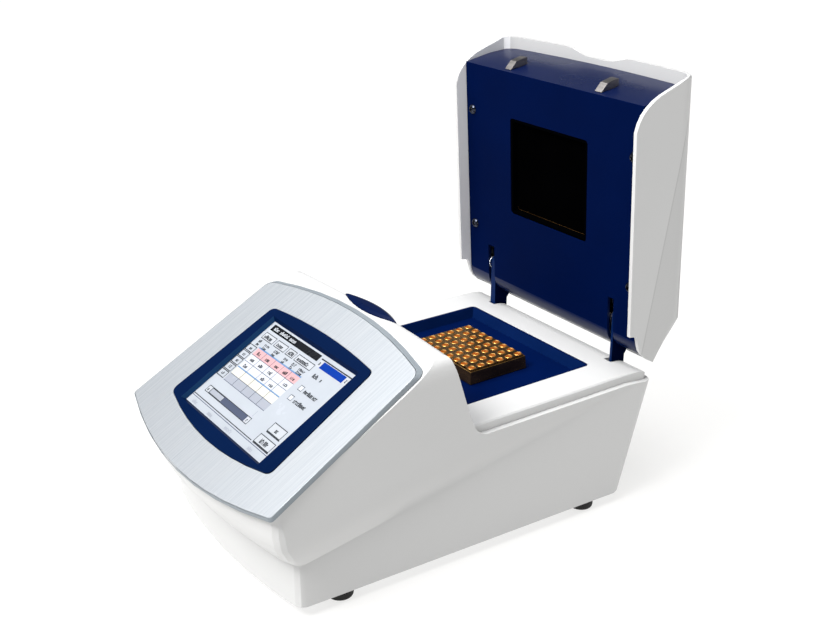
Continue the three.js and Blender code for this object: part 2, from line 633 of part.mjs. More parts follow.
function powerInlet() {
  const body = hole(INLET, 0, [-24, 0.6]);
  const socket = hole({ ...INLET, w: INLET.w - 2, h: INLET.h - 2 }, 0, [-18, 2]);
  let inlet = body.subtract(socket);
  for (const [dx, dy] of [[-7, -1.5], [0, 2.5], [7, -1.5]]) {
    inlet = inlet.add(hole({ x: INLET.x + dx, y: INLET.y + dy, w: 1, h: 2 }, 0, [-19, -5]));
  }
  return inlet;
}
place('power_inlet', powerInlet(), BLACK_PLASTIC, rearGroup);

function fuseDrawer() {
  const face = hole(FUSE, 0, [-2.6, 0.8]);
  const carrier = hole({ ...FUSE, w: FUSE.w - 2, h: FUSE.h - 1.2 }, 0, [-20, -2.5]);
  const grip = hole({ ...FUSE, w: 4, h: 1 }, 0, [-0.6, 2]);
  return face.add(carrier).subtract(grip);
}
place('fuse_drawer', fuseDrawer(), BLACK_PLASTIC, rearGroup);

function switchRocker() {
  const { x, y, w, h } = SWITCH;
  const arc = new THREE.Shape();
  arc.moveTo(-h + 2, -4);
  arc.lineTo(h - 2, -4);
  arc.lineTo(h - 1.6, 1.2);
  arc.quadraticCurveTo(0, -0.4, -h + 1.6, 1.2);
  const body = prism('x', arc, [-w + 1.3, w - 1.3], 8);
  const turn = new THREE.Matrix4().makeRotationX(SWITCH_TILT).setPosition(x, y, 1.4);
  return body.transform(turn.toArray());
}
place('power_switch', switchRocker(), BLACK_PLASTIC, rearGroup);

function switchHousing() {
  const { w, h } = SWITCH;
  const body = hole(SWITCH, 0, [-16, 0.4]);
  return body.subtract(hole({ ...SWITCH, w: w - 0.9, h: h - 0.9 }, 0, [-6, 3]));
}
place('switch_housing', switchHousing(), BLACK_PLASTIC, rearGroup);

function dataPort() {
  const shell = hole(PORT, 0, [-16, 0.4]);
  const mouth = hole({ ...PORT, w: PORT.w - 0.8, h: PORT.h - 0.8 }, 0, [-12, 3]);
  const tongue = box([PORT.x - 2.6, PORT.x + 2.6], [PORT.y - 1, PORT.y + 1.4], [-12.5, -4]);
  return shell.subtract(mouth).add(tongue);
}
place('data_port', dataPort(), STEEL, rearGroup);

// ---------------------------------------------------------------- release button and latch

function releaseButton() {
  const ring = (shrink, z) => lensOutline(LENS.length - 2.4 * shrink, LENS.width - shrink, LENS.y)
    .getPoints(10).slice(1).map((p) => [p.x, p.y, z]);
  const cap = loft([
    ring(0, 44.5), ring(0, CREST_Z), ring(0.8, CREST_Z + 0.6 * LENS.dome), ring(2.6, CREST_Z + LENS.dome),
  ]);
  const stem = prism('x', [
    [-91.5, 44.6], [-98, 44.6], [-98, 35], [-111, 35], [-111, 31.6], [-107, 27.6], [-91.5, 27.6],
  ], [-8, 8]);
  return joined(cap, stem);
}
place('release_button', releaseButton(), NAVY);

function latchSlide() {
  const low = LATCH.z[0];
  const bar = box([-HOOK_X - 3, HOOK_X + 3], LATCH.barY, LATCH.z);
  const wedge = prism('x', [[-112, low], [-102, low], [-102, 22], [-106, 26], [-112, 26]], [-8, 8]);
  return joined(bar, wedge);
}
place('latch_slide', latchSlide(), STEEL);

// Sprung leaf on the slide whose bent tip catches over the lid's hook.
function catchLeaf(x) {
  const low = LATCH.z[1] + GAP;
  const high = low + 0.8;
  return prism('x', [
    [-112, low], [-85.8, low], [-80.6, 20.5], [-79.9, 21.2], [-85.4, high], [-112, high],
  ], [x - 3, x + 3]);
}
place('catch_leaf_left', catchLeaf(-HOOK_X), STEEL);
place('catch_leaf_right', catchLeaf(HOOK_X), STEEL);

place('button_spring', coil(4, 18, 4.5, 0.7).translate([0, -96.5, 9.3]), STEEL);
place('latch_spring', coil(2.6, 9.2, 4, 0.5).rotate([90, 0, 0]).translate([0, -112.3, 23]), STEEL);

// ---------------------------------------------------------------- hinge arms
const pivotY = LID_ORIGIN_Y + PIVOT_D * Math.cos(LID_LEAN) - PIVOT_S * Math.sin(LID_LEAN);
const pivotZ = PIVOT_S * Math.cos(LID_LEAN) + PIVOT_D * Math.sin(LID_LEAN);

function hingeArm({ plate }) {
  const outline = new THREE.Shape();
  outline.moveTo(ARM_FRONT_Y, -34);
  outline.lineTo(ARM_FRONT_Y + 6, -34);
  outline.lineTo(ARM_FRONT_Y + 6, -24);
  outline.lineTo(ARM_REAR_Y, -9);
  outline.lineTo(ARM_REAR_Y, -2);
  outline.lineTo(pivotY + 6.5, pivotZ - 4.5);
  outline.quadraticCurveTo(pivotY + 9.5, pivotZ, pivotY + 6.5, pivotZ + 5);
  outline.quadraticCurveTo(pivotY + 3, pivotZ + 8, pivotY - 3, pivotZ + 8.4);
  outline.lineTo(ARM_FRONT_Y + 5, 36.6);
  outline.quadraticCurveTo(ARM_FRONT_Y, 37, ARM_FRONT_Y, 32);
  const middle = (plate[0] + plate[1]) / 2;
  return cut(prism('x', outline, plate, 6), cylinder('x', [middle, pivotY, pivotZ], 4.4, 20, 32),
    cylinder('x', [middle, STOP_PIN.y, STOP_PIN.z], STOP_PIN.radius + GAP, 20, 20));
}
function stopPin({ pin: [from, to] }) {
  const { y, z, radius, headRadius, head } = STOP_PIN;
  const shank = cylinder('x', [(from + to) / 2, y, z], radius, to - from, 20);
  if (from > 0) return shank;
  return shank.add(cylinder('x', [(head[0] + head[1]) / 2, y, z], headRadius, head[1] - head[0], 28));
}
for (const [hand, arm] of Object.entries(ARMS)) {
  place(`hinge_arm_${hand}`, hingeArm(arm), NAVY);
  place(`stop_pin_${hand}`, stopPin(arm), STEEL);
}

// ---------------------------------------------------------------- lid (built in the open lid's own frame)
// Crown of the cover: deepest on the centre line, rounded down to the wings.
function crownDepth(x) {
  const flat = LID_CREST_D - 4 * (x / 90) ** 2;
  const edge = WING_OUTER - Math.abs(x);
  const radius = 15;
  if (edge >= radius) return flat;
  return flat - radius + Math.sqrt(Math.max(radius ** 2 - (radius - edge) ** 2, 0));
}

const scoopAt = (x) => SCOOP * (0.5 + 0.5 * Math.cos(Math.PI * ramp(Math.abs(x), 10, 36)));

// Side outline of the lid in (d, s) at one place across it: wing edge, free end, crown and slanted rear.
function lidProfile(x) {
  const depth = crownDepth(x);
  const shoulder = (d) => 207.1 + 0.3 * (d - 30.5);
  const end = Math.min(LID_END_S - scoopAt(x), shoulder(depth) + 0.3);
  const limit = (d, s) => [d, Math.min(s, end - 0.02 * (depth - d))];
  const nose = new THREE.QuadraticBezierCurve(
    new THREE.Vector2(0, 182.5), new THREE.Vector2(5, 201.2), new THREE.Vector2(30.5, 207.1),
  ).getPoints(6).map((p) => limit(p.x, p.y));
  return [
    TIP, [17.5, 4.8], [12.6, 9.8], [10.2, 13.9], [8.8, 18.8], [7.7, 24], [6.4, 26.6], [0, 28], ...nose,
    limit(depth - 3, shoulder(depth - 3)), [depth + REAR_LEAN - 1.5, end], [depth + REAR_LEAN, end - 1.5],
    [depth, REAR_CORNER_S + 3], [depth - 2.5, REAR_CORNER_S],
  ];
}

// The hollow behind the wings' edge: open to the front and the free end, shrunk at the back and bottom.
function hollowProfile(x, inset) {
  const depth = crownDepth(x) - inset;
  const rear = REAR_CORNER_S + inset;
  return [
    [-30, -40], [-30, 260], [depth, 260], [depth, rear + 2], [depth - 2.5, rear], [TIP[0], TIP[1] + inset],
    [TIP[0], -40],
  ];
}

const LID_STATIONS = [0, 10, 16, 23, 30, 36, 50, 66, 80, 89.6, 94, 98, 101, 103, 104.2];
const mirroredStations = (last) => {
  const half = [...LID_STATIONS, last];
  return [...half.slice(1).map((x) => -x).reverse(), ...half];
};

function lidVolume(profileAt) {
  return loft(mirroredStations(WING_OUTER).map((x) => profileAt(x).map(([d, s]) => [x, d, s])));
}
function lidHollow(inset, halfWidth) {
  return lidVolume((x) => hollowProfile(x, inset))
    .intersect(box([-halfWidth, halfWidth], [-80, 120], [-60, 300]));
}

function lidCover() {
  const shell = lidVolume(lidProfile).subtract(lidHollow(WALL, WING_INNER));
  return cut(shell, ...Object.values(ARMS).map(({ room }) => box(room, [18, 47], [-5, PIVOT_S])));
}
place('lid_cover', lidCover(), WHITE, lidGroup);

// Bent sheet: front face, rounded lower edge and underside, two facets at the free end.
function linerSheet() {
  const t = LINER_THICK;
  const outline = new THREE.Shape();
  outline.moveTo(LINER_D, 20);
  outline.quadraticCurveTo(LINER_D + 0.8, 6.5, 25.2, 3.1);
  outline.lineTo(25.6, 3.1 + t);
  outline.quadraticCurveTo(LINER_D + t + 1, 8.6, LINER_D + t, 20);
  outline.lineTo(LINER_D + t, 199 - t);
  outline.lineTo(34.6, 202.4 - t);
  outline.lineTo(63, 203.6 - t);
  outline.lineTo(63, 203.6);
  outline.lineTo(34.6, 202.4);
  outline.lineTo(LINER_D, 199);
  const half = WING_INNER - 0.6;
  return prism('x', outline, [-half, half], 6).intersect(lidHollow(WALL + GAP, half));
}

function lidLiner() {
  let body = linerSheet();
  body = body.subtract(prism('y', roundedOutline([-PLATE_HALF, PLATE_HALF], PLATE_S, 3), [0, 20], 4));
  for (const { room } of Object.values(ARMS)) body = cut(body, box(room, [0, 30], [-5, 47]));
  for (const side of [-1, 1]) {
    body = cut(body, box([side * HOOK_X - 3.8, side * HOOK_X + 3.8], [20.6, 28.4], [190, 210]));
    for (const s of SCREW_S) body = cut(body, cylinder('y', [side * SCREW_X, 10, s], 2.4, 12, 14));
  }
  return body;
}
place('lid_liner', lidLiner(), NAVY, lidGroup);

function heaterFrame() {
  const [s0, s1] = PLATE_S;
  const collar = prism('y', roundedOutline([-PLATE_HALF + GAP, PLATE_HALF - GAP], [s0 + GAP, s1 - GAP], 2.7),
    [LINER_D + 0.4, 30], 4);
  const flange = box([-PLATE_HALF - 5, PLATE_HALF + 5], [LINER_D + LINER_THICK + GAP, 15], [s0 - 5, s1 + 5]);
  const opening = box([-PLATE_HALF + 2.6, PLATE_HALF - 2.6], [0, 50], [s0 + 2.6, s1 - 2.6]);
  return cut(joined(collar, flange), opening);
}
place('heater_frame', heaterFrame(), BLACK_PLASTIC, lidGroup);

place('heated_plate', prism('y', roundedOutline([-PLATE_HALF + 2.9, PLATE_HALF - 2.9],
  [PLATE_S[0] + 2.9, PLATE_S[1] - 2.9], 1.5), PLATE_D, 3), BLACK, lidGroup);

place('heater_backing', box([-PLATE_HALF - 5, PLATE_HALF + 5], [30.3, 32.3], [PLATE_S[0] - 5, PLATE_S[1] + 5]),
  SHEET_STEEL, lidGroup);

let springNumber = 1;
for (const x of [-34, 34]) {
  for (const s of [93, 153]) {
    const spring = coil(3.6, 9.5, 3, 0.6).rotate([-90, 0, 0]).translate([x, PLATE_D[1] + GAP, s]);
    place(`plate_spring_${springNumber}`, spring, STEEL, lidGroup);
    springNumber += 1;
  }
}

function lidHook(x) {
  const wedge = prism('x', [
    [13.2, 199.9], [30, 202.2], [30, 207.3], [27.5, 207.3], [19, 205.6],
  ].reverse(), [x - 3.5, x + 3.5]);
  const stem = box([x - 3.4, x + 3.4], [21, 28], [188, 203]);
  return joined(wedge, stem);
}
for (const side of [-1, 1]) {
  place(`lid_hook_${side < 0 ? 'left' : 'right'}`, lidHook(side * HOOK_X), STEEL, lidGroup);
}

function linerScrew(x, s) {
  const profile = [[0, 0], [2.6, 0.2], [3.8, 1.2], [4, 2.2], [2, 2.3], [2, 9], [0, 9]];
  const geometry = new THREE.LatheGeometry(profile.map((p) => new THREE.Vector2(...p)), 16);
  return solid(geometry.translate(x, LINER_D - 2.5, s));
}
for (const side of [-1, 1]) {
  SCREW_S.forEach((s, i) => {
    const name = `liner_screw_${i ? 'upper' : 'lower'}_${side < 0 ? 'left' : 'right'}`;
    place(name, linerScrew(side * SCREW_X, s), DARK_STEEL, lidGroup);
  });
}

place('hinge_shaft', cylinder('x', [0, PIVOT_D, PIVOT_S], 4, 196, 32), STEEL, lidGroup);

function hingeBracket(x) {
  const side = [[13, 18], [24, 18], [35, 16.2], [40.5, 20.5], [40.5, 27], [30, 60], [13, 60]];
  const web = prism('x', side, [x - 1.5, x + 1.5]);
  const foot = box([x - 1.5, x + 10], [12.5, 14.5], [26, 60]);
  return cut(joined(web, foot), cylinder('x', [x, PIVOT_D, PIVOT_S], 4 + GAP, 30, 32));
}
for (const side of [-1, 1]) {
  const bracket = hingeBracket(80);
  place(`hinge_bracket_${side < 0 ? 'left' : 'right'}`, side < 0 ? bracket.mirror([1, 0, 0]) : bracket,
    SHEET_STEEL, lidGroup);
}

// ---------------------------------------------------------------- stand the finished group on the floor
cycler.updateMatrixWorld(true);
const bounds = new THREE.Box3().setFromObject(cycler, true);
cycler.position.set(0, -(bounds.min.y + bounds.max.y) / 2, -bounds.min.z);
cycler.updateMatrixWorld(true);

export default cycler;
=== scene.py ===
"""Looks for a bench-top thermal cycler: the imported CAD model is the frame, in metres."""
import json
import math
import random

import bmesh
import bpy
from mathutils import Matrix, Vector

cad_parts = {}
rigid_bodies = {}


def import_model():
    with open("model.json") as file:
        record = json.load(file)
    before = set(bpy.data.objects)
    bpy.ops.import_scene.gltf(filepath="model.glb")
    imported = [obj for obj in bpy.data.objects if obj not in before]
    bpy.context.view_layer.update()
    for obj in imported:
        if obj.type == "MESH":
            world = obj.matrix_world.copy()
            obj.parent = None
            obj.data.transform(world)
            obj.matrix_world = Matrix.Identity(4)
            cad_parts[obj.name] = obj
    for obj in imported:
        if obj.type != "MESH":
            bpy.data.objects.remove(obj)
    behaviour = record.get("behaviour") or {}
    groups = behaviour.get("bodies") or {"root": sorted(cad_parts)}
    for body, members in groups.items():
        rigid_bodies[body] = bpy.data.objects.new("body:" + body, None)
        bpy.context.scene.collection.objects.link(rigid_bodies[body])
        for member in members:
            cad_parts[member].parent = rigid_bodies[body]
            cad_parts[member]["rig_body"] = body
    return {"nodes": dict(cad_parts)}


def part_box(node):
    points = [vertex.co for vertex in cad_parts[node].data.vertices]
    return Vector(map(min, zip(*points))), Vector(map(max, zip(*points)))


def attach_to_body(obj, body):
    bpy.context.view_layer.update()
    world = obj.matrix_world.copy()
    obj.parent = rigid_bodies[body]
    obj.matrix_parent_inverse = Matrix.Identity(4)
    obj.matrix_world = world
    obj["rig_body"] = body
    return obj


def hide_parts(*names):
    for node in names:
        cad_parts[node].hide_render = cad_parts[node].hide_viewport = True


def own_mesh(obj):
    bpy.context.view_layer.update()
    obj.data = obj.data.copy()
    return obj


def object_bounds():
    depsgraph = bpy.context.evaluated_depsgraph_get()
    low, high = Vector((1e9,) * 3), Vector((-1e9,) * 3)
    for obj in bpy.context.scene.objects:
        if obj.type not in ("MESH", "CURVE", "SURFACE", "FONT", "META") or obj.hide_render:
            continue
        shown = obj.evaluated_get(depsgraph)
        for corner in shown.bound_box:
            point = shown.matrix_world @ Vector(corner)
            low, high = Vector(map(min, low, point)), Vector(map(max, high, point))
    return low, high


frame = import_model()
cad_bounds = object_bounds()
MM = 0.001
random.seed(7)


# ---------------------------------------------------------------- materials
def shader(name):
    """A new material with its node tree and its principled shader."""
    material = bpy.data.materials.new(name)
    material.use_nodes = True
    tree = material.node_tree
    return material, tree, tree.nodes["Principled BSDF"]


def coordinates(tree, stretch=(1, 1, 1), turn=(0, 0, 0)):
    """Object coordinates, turned and then scaled along each axis."""
    source = tree.nodes.new("ShaderNodeTexCoord")
    mapping = tree.nodes.new("ShaderNodeMapping")
    mapping.vector_type = "TEXTURE"
    mapping.inputs["Rotation"].default_value = turn
    squeeze = tree.nodes.new("ShaderNodeMapping")
    squeeze.inputs["Scale"].default_value = stretch
    tree.links.new(source.outputs["Object"], mapping.inputs["Vector"])
    tree.links.new(mapping.outputs["Vector"], squeeze.inputs["Vector"])
    return squeeze.outputs["Vector"]


def noise(tree, vector, scale, detail=3.0, roughness=0.5):
    node = tree.nodes.new("ShaderNodeTexNoise")
    node.inputs["Scale"].default_value = scale
    node.inputs["Detail"].default_value = detail
    node.inputs["Roughness"].default_value = roughness
    tree.links.new(vector, node.inputs["Vector"])
    return node.outputs["Fac"]


def spread(tree, value, low, high):
    """The middle of a noise's range, mapped to low and high."""
    node = tree.nodes.new("ShaderNodeMapRange")
    node.inputs["From Min"].default_value = 0.3
    node.inputs["From Max"].default_value = 0.7
    node.inputs["To Min"].default_value = low
    node.inputs["To Max"].default_value = high
    tree.links.new(value, node.inputs["Value"])
    return node.outputs["Result"]


def tint(tree, value, dark, light):
    """The middle of a noise's range, mapped from a dark to a light colour."""
    ramp = tree.nodes.new("ShaderNodeValToRGB")
    ramp.color_ramp.elements[0].position = 0.3
    ramp.color_ramp.elements[0].color = (*dark, 1)
    ramp.color_ramp.elements[1].position = 0.7
    ramp.color_ramp.elements[1].color = (*light, 1)
    tree.links.new(value, ramp.inputs["Fac"])
    return ramp.outputs["Color"]


def bump(tree, value, strength, distance):
    node = tree.nodes.new("ShaderNodeBump")
    node.inputs["Strength"].default_value = strength
    node.inputs["Distance"].default_value = distance
    tree.links.new(value, node.inputs["Height"])
    return node.outputs["Normal"]


def surface(name, color, vary=0.05, rough=(0.3, 0.4), metal=0.0, grain=900, depth=0.00002, strength=0.25,
            mottle=25, stretch=(1, 1, 1), turn=(0, 0, 0), coat=0.0, specular=0.5, glow=0.0):
    """A moulded, painted or metal surface: mottled colour, uneven gloss and a fine surface grain."""
    material, tree, bsdf = shader(name)
    vector = coordinates(tree, stretch, turn)
    broad = noise(tree, vector, mottle)
    fine = noise(tree, vector, grain, 4.0, 0.6)
    dark = tuple(c * (1 - vary) for c in color)
    light = tuple(min(1.0, c * (1 + vary)) for c in color)
    tree.links.new(tint(tree, broad, dark, light), bsdf.inputs["Base Color"])
    tree.links.new(spread(tree, broad, *rough), bsdf.inputs["Roughness"])
    tree.links.new(bump(tree, fine, strength, depth), bsdf.inputs["Normal"])
    bsdf.inputs["Metallic"].default_value = metal
    bsdf.inputs["Specular IOR Level"].default_value = specular
    bsdf.inputs["Coat Weight"].default_value = coat
    bsdf.inputs["Coat Roughness"].default_value = 0.12
    if glow:
        bsdf.inputs["Emission Color"].default_value = (*color, 1)
        bsdf.inputs["Emission Strength"].default_value = glow
    return material


TILT = math.radians(29.7)
MOULDED = {"vary": 0.012, "grain": 1400, "depth": 0.00001, "strength": 0.2, "mottle": 12}
PAINTED = {"vary": 0.10, "grain": 1600, "depth": 0.00002, "strength": 0.25}
WHITE = surface("white_gloss", (0.635, 0.633, 0.627), rough=(0.30, 0.36), coat=0.15, **MOULDED)
# Painted shade along the crease of the lid's wings: a darker copy of the white.
CREASE_SHADE = surface("white_crease_painted_shade", (0.52, 0.518, 0.512), rough=(0.34, 0.40), coat=0.1, **MOULDED)
# Painted shade on the folded part of the wings behind the crease: a darker copy of the white.
WHITE_FOLD_SHADE = surface("white_fold_painted_shade", (0.59, 0.588, 0.582), rough=(0.30, 0.36), coat=0.15, **MOULDED)
# Painted light on the left wing's inner face, which sits in shade: a lighter copy of the white.
WHITE_INNER_LIT = surface("white_inner_painted_light", (0.94, 0.94, 0.95), rough=(0.30, 0.36), coat=0.15, **MOULDED)
NAVY = surface("navy_satin", (0.0002, 0.0042, 0.036), rough=(0.40, 0.50), mottle=16, specular=0.005,
               **PAINTED)
# Painted sheen: a lighter, glossier navy for the liner's lower rounding and the top of its free end.
NAVY_PAINTED_SHEEN = surface("navy_painted_sheen", (0.0004, 0.006, 0.045), rough=(0.26, 0.34), mottle=16, specular=0.17,
                     **PAINTED)
# Painted shade and painted light for the hinge arms: a near-black navy for their faces that face +X, a
# lighter navy for the rest.
NAVY_PAINTED_SHADE = surface("navy_painted_shade", (0.0005, 0.003, 0.022), rough=(0.45, 0.55), mottle=16, specular=0.0,
                     **PAINTED)
NAVY_ARM_LIT = surface("navy_arm_painted_light", (0.0015, 0.013, 0.070), rough=(0.36, 0.44), mottle=40, specular=0.05,
                   **PAINTED)
BEZEL = surface("navy_bezel", (0.0005, 0.0072, 0.038), 0.08, (0.34, 0.42), grain=1500, depth=0.00002,
                strength=0.2, mottle=20, specular=0.02)
# Painted highlight: a lighter navy for the bezel's inner bevel faces that face +X.
BEZEL_HIGHLIGHT = surface("navy_bezel_painted_highlight", (0.007, 0.030, 0.085), 0.08, (0.30, 0.38), grain=1500, depth=0.00002,
                     strength=0.2, mottle=40, specular=0.05)
TRAY = surface("navy_tray", (0.0003, 0.0055, 0.046), 0.10, (0.32, 0.44), grain=1300, depth=0.00002,
               strength=0.25, mottle=30, specular=0.02)
# Painted light: a lighter copy of the tray's navy for its sloping walls.
TRAY_WALL_LIT = surface("navy_tray_wall_painted_light", (0.0014, 0.011, 0.066), 0.10, (0.32, 0.42), grain=1300, depth=0.00002,
                    strength=0.25, mottle=30, specular=0.04)
LENS = surface("navy_button", (0.0009, 0.0062, 0.039), 0.06, (0.26, 0.34), grain=1500, strength=0.15,
               mottle=30, specular=0.05)
TRIM = surface("grey_trim", (0.25, 0.28, 0.305), 0.05, (0.40, 0.50), 0.1, grain=1800, strength=0.2,
               mottle=30, specular=0.25)
HOOK = surface("dull_steel", (0.30, 0.28, 0.27), 0.12, (0.32, 0.46), 1.0, grain=500, strength=0.3,
               stretch=(1, 1, 6), mottle=90)
STEEL = surface("bright_steel", (0.72, 0.73, 0.75), 0.05, (0.18, 0.30), 1.0, grain=500, strength=0.3,
                stretch=(1, 1, 6), mottle=60)
SPRING = surface("spring_steel", (0.55, 0.56, 0.58), 0.08, (0.22, 0.34), 1.0, grain=900, mottle=80)
SCREW = surface("dark_screw", (0.05, 0.055, 0.075), 0.15, (0.16, 0.26), 1.0, grain=1500, mottle=200)
SHEET = surface("zinc_sheet", (0.56, 0.57, 0.59), 0.10, (0.30, 0.46), 1.0, grain=260, strength=0.15,
                mottle=45)
CAST = surface("extruded_aluminium", (0.62, 0.63, 0.65), 0.06, (0.34, 0.46), 1.0, grain=700,
               stretch=(1, 0.05, 1), mottle=60)
BLACK = surface("black_moulding", (0.012, 0.012, 0.013), 0.15, (0.48, 0.62), grain=2200, depth=0.00006,
                strength=0.5, mottle=60)
RUBBER = surface("black_rubber", (0.010, 0.010, 0.010), 0.2, (0.68, 0.82), grain=1500, depth=0.00008,
                 strength=0.6, mottle=90)
PLATE = surface("black_plate", (0.0004, 0.0004, 0.0005), 0.2, (0.12, 0.20), grain=1200, strength=0.05,
                mottle=40, specular=0.0)
COLLAR = surface("black_collar", (0.0005, 0.0006, 0.0009), 0.2, (0.5, 0.6), grain=1800, strength=0.3,
                 mottle=60, specular=0.0)
COPPER = surface("bronze_edge", (0.42, 0.22, 0.08), 0.12, (0.26, 0.38), 0.9, grain=900, mottle=120)
CERAMIC = surface("ceramic", (0.78, 0.77, 0.72), 0.04, (0.55, 0.7), grain=1600, mottle=80)
BOARD = surface("solder_mask", (0.02, 0.13, 0.05), 0.15, (0.3, 0.42), grain=700, mottle=150)
# The gold cups glow faintly: painted light.
GLOWING_CUPS = surface("gold_cups_painted_glow", (0.80, 0.42, 0.10), 0.06, (0.24, 0.36), 0.85, grain=1300, strength=0.15,
               mottle=160, glow=0.08)
BRONZE = surface("bronze_block", (0.25, 0.14, 0.045), 0.22, (0.20, 0.34), 0.9, grain=900, strength=0.3,
                 mottle=95)
# Painted highlight: a lighter copy of the block's bronze for the carrier's upward faces and the cups' rolled
# lips.
RIM_HIGHLIGHT = surface("bronze_rim_painted_highlight", (0.36, 0.21, 0.068), 0.20, (0.24, 0.36), 0.9, grain=900, strength=0.3, mottle=120)
CARRIER = surface("dark_carrier", (0.095, 0.056, 0.028), 0.4, (0.18, 0.30), 0.75, grain=700, strength=0.12,
                  stretch=(1, 1, 3), mottle=45)


def brushed_metal():
    """Aluminium brushed along the slope of the panel: long fine streaks in colour, gloss and height."""
    material, tree, bsdf = shader("brushed_aluminium")
    vector = coordinates(tree, (1, 0.012, 1), (TILT, 0, 0))
    fine = noise(tree, vector, 1900, 5.0, 0.7)
    wide = noise(tree, vector, 600, 4.0, 0.65)
    fine_share = 0.55
    mix = tree.nodes.new("ShaderNodeMath")
    mix.operation = "MULTIPLY_ADD"
    mix.inputs[1].default_value = fine_share
    tree.links.new(fine, mix.inputs[0])
    rest = tree.nodes.new("ShaderNodeMath")
    rest.operation = "MULTIPLY"
    rest.inputs[1].default_value = 1 - fine_share
    tree.links.new(wide, rest.inputs[0])
    tree.links.new(rest.outputs[0], mix.inputs[2])
    streak = mix.outputs[0]
    tree.links.new(tint(tree, streak, (0.38, 0.41, 0.445), (0.62, 0.64, 0.66)), bsdf.inputs["Base Color"])
    tree.links.new(spread(tree, streak, 0.50, 0.32), bsdf.inputs["Roughness"])
    tree.links.new(bump(tree, streak, 0.35, 0.00004), bsdf.inputs["Normal"])
    bsdf.inputs["Metallic"].default_value = 0.75
    return material


BRUSHED = brushed_metal()


def floor_material():
    return surface("pale_floor", (0.25, 0.249, 0.246), 0.006, (0.55, 0.65), grain=500, strength=0.04,
                   mottle=3, specular=0.2, glow=3.0)


# ---------------------------------------------------------------- mesh tools
def add_object(name, mesh, materials):
    """Links a mesh into the scene as a new object."""
    obj = bpy.data.objects.new(name, mesh)
    bpy.context.scene.collection.objects.link(obj)
    for material in materials:
        mesh.materials.append(material)
    return obj


def from_bmesh(name, bm, materials):
    """Turns a bmesh into an object, with its faces all facing out."""
    mesh = bpy.data.meshes.new(name)
    bmesh.ops.recalc_face_normals(bm, faces=bm.faces)
    bm.to_mesh(mesh)
    bm.free()
    return add_object(name, mesh, materials)


def baked(obj):
    """Applies the object's modifiers to its mesh."""
    graph = bpy.context.evaluated_depsgraph_get()
    graph.update()
    mesh = bpy.data.meshes.new_from_object(obj.evaluated_get(graph))
    old = obj.data
    obj.modifiers.clear()
    obj.data = mesh
    bpy.data.meshes.remove(old)
    return obj


def finish_mesh(obj, width, segments=3, angle=22, sharp=42):
    """Rounds the edges, then shades the faces smooth."""
    if width:
        bevel = obj.modifiers.new("edge", "BEVEL")
        bevel.width = width * MM
        bevel.segments = segments
        bevel.limit_method = "ANGLE"
        bevel.angle_limit = math.radians(angle)
        bevel.use_clamp_overlap = True
        baked(obj)
    obj.data.polygons.foreach_set("use_smooth", [True] * len(obj.data.polygons))
    obj.data.set_sharp_from_angle(angle=math.radians(sharp))
    weighted = obj.modifiers.new("shade", "WEIGHTED_NORMAL")
    weighted.keep_sharp = True
    weighted.weight = 80
    return obj


def clean_copy(node):
    """A bmesh of a CAD node with its corners joined and its flat faces whole."""
    bm = bmesh.new()
    bm.from_mesh(frame["nodes"][node].data)
    bmesh.ops.remove_doubles(bm, verts=bm.verts, dist=2e-6)
    bmesh.ops.dissolve_limit(bm, angle_limit=math.radians(0.35), verts=bm.verts, edges=bm.edges)
    return bm


def attach(obj, node):
    """The piece stands for the CAD node and rides on its body; the node itself is hidden."""
    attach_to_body(obj, frame["nodes"][node]["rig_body"])
    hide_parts(node)
    return obj


def refined(node, material, width, segments=3, shape=None, angle=22, others=(), zone=None):
    """A rounded skin of the node. zone(centre, normal) picks a face's material: 0, or 1 up for the others."""
    bm = clean_copy(node)
    if shape:
        shape(bm)
    obj = from_bmesh(node + "_skin", bm, [material, *others])
    finish_mesh(obj, width, segments, angle)
    if zone:
        for face in obj.data.polygons:
            face.material_index = zone(face.center, face.normal)
    return attach(obj, node)


def middle(node):
    """The centre of a CAD node's box."""
    low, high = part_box(node)
    return (low + high) / 2


# ---------------------------------------------------------------- casings and plain pieces
LEAN = math.radians(3.06)
SHAFT_D, SHAFT_S = 34.4, 22.2
shaft = middle("hinge_shaft")


def on_lid(x, d, s):
    """A point of the open lid: d behind its wings' front edge, s toward its free end, in millimetres."""
    back, up = (d - SHAFT_D) * MM, (s - SHAFT_S) * MM
    return Vector((x * MM, shaft.y + back * math.cos(LEAN) - up * math.sin(LEAN),
                   shaft.z + up * math.cos(LEAN) + back * math.sin(LEAN)))


def lid_place(point):
    """The depth and height of a point in the open lid's own frame, in millimetres."""
    rel = (point - shaft) / MM
    return (SHAFT_D + rel.y * math.cos(LEAN) + rel.z * math.sin(LEAN),
            SHAFT_S + rel.z * math.cos(LEAN) - rel.y * math.sin(LEAN))


# The wings' crease, and the half-width of the strip along it that takes painted shade.
CREASE, CREASE_SHADE_HALF = on_lid(0, 16.5, 27), 0.6 * MM
CREASE_OUT = Vector((1, 0, 0)).cross(CREASE - on_lid(0, 47.7, 166.2)).normalized()
FOLD_DEPTH, FOLD_SLOPE = 1.2 * MM, 0.05
WING_FACE, WING_SIDE, WING_INNER = 103.6 * MM, 102.5 * MM, 90 * MM


